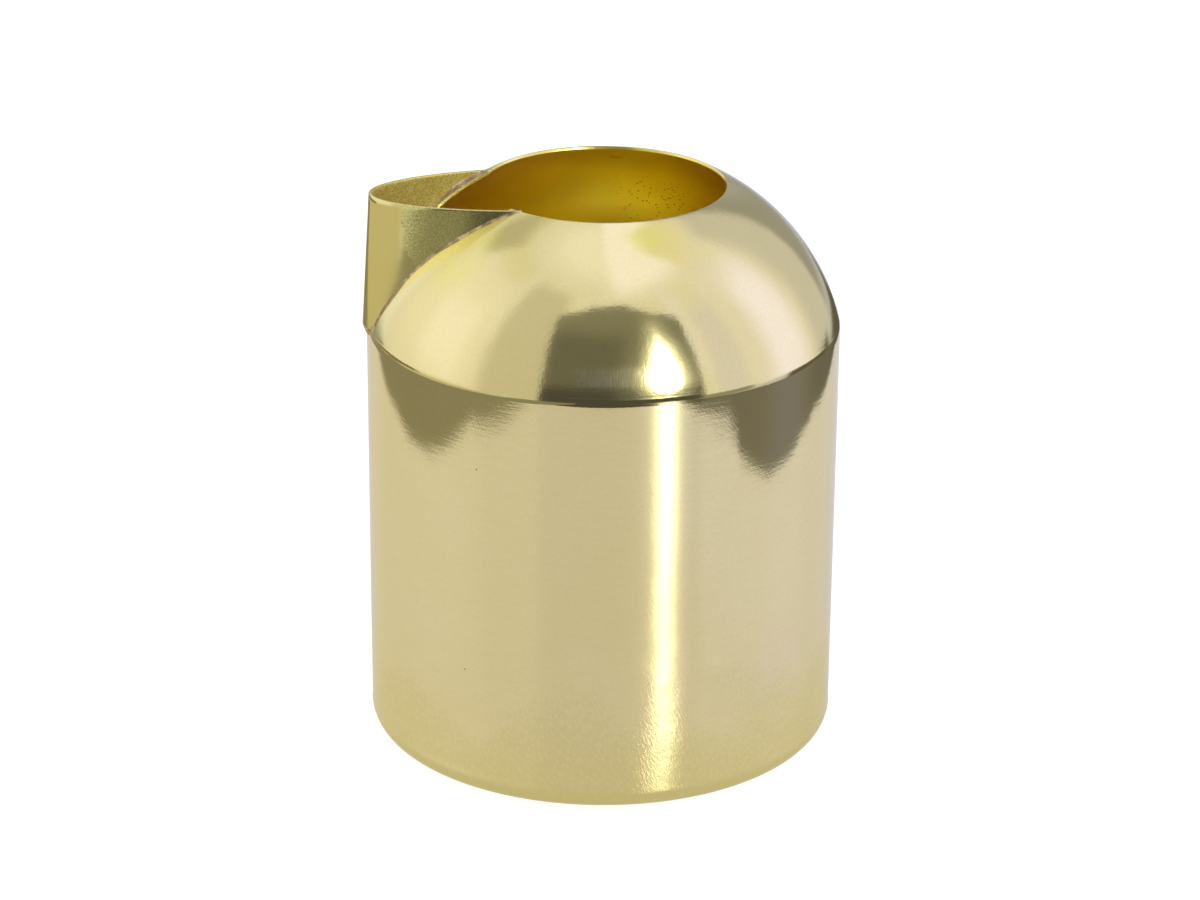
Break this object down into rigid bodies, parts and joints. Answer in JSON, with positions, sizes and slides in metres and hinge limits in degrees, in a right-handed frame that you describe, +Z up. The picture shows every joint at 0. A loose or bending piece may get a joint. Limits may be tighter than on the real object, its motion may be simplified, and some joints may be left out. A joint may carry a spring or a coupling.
{
  "type": "pouring jug",
  "caption": "Small handleless brass jug: straight round cup, domed top with an open mouth and a folded V spout brazed to the dome, for pouring milk or cream.",
  "frame": {"origin": "centre of the flat underside of the base, where the jug stands", "axes": "+Z up along the axis of the cup, -X out towards the tip of the spout, so the jug is the same on its +Y and -Y sides apart from the spout, whose plan is turned 3.3 degrees about its tip"},
  "size_m": [0.0758, 0.075, 0.091],
  "materials": {
    "cup_brass": "fine circumferential brushing, lightly lacquered",
    "dome_brass": "fine circumferential brushing, lightly lacquered",
    "spout_brass": "matt, finely grained",
    "braze_outer": "slightly lumpy dressed brazing",
    "braze_inner": "rough brazing",
    "braze_ring": "rough brazing"
  },
  "bodies": {
    "root": {"cup_body": "cup_brass", "dome_shoulder": "dome_brass", "spout": "spout_brass", "spout_braze_outer": "braze_outer", "spout_braze_inner": "braze_inner", "shoulder_braze_ring": "braze_ring"}
  },
  "joints": []
}
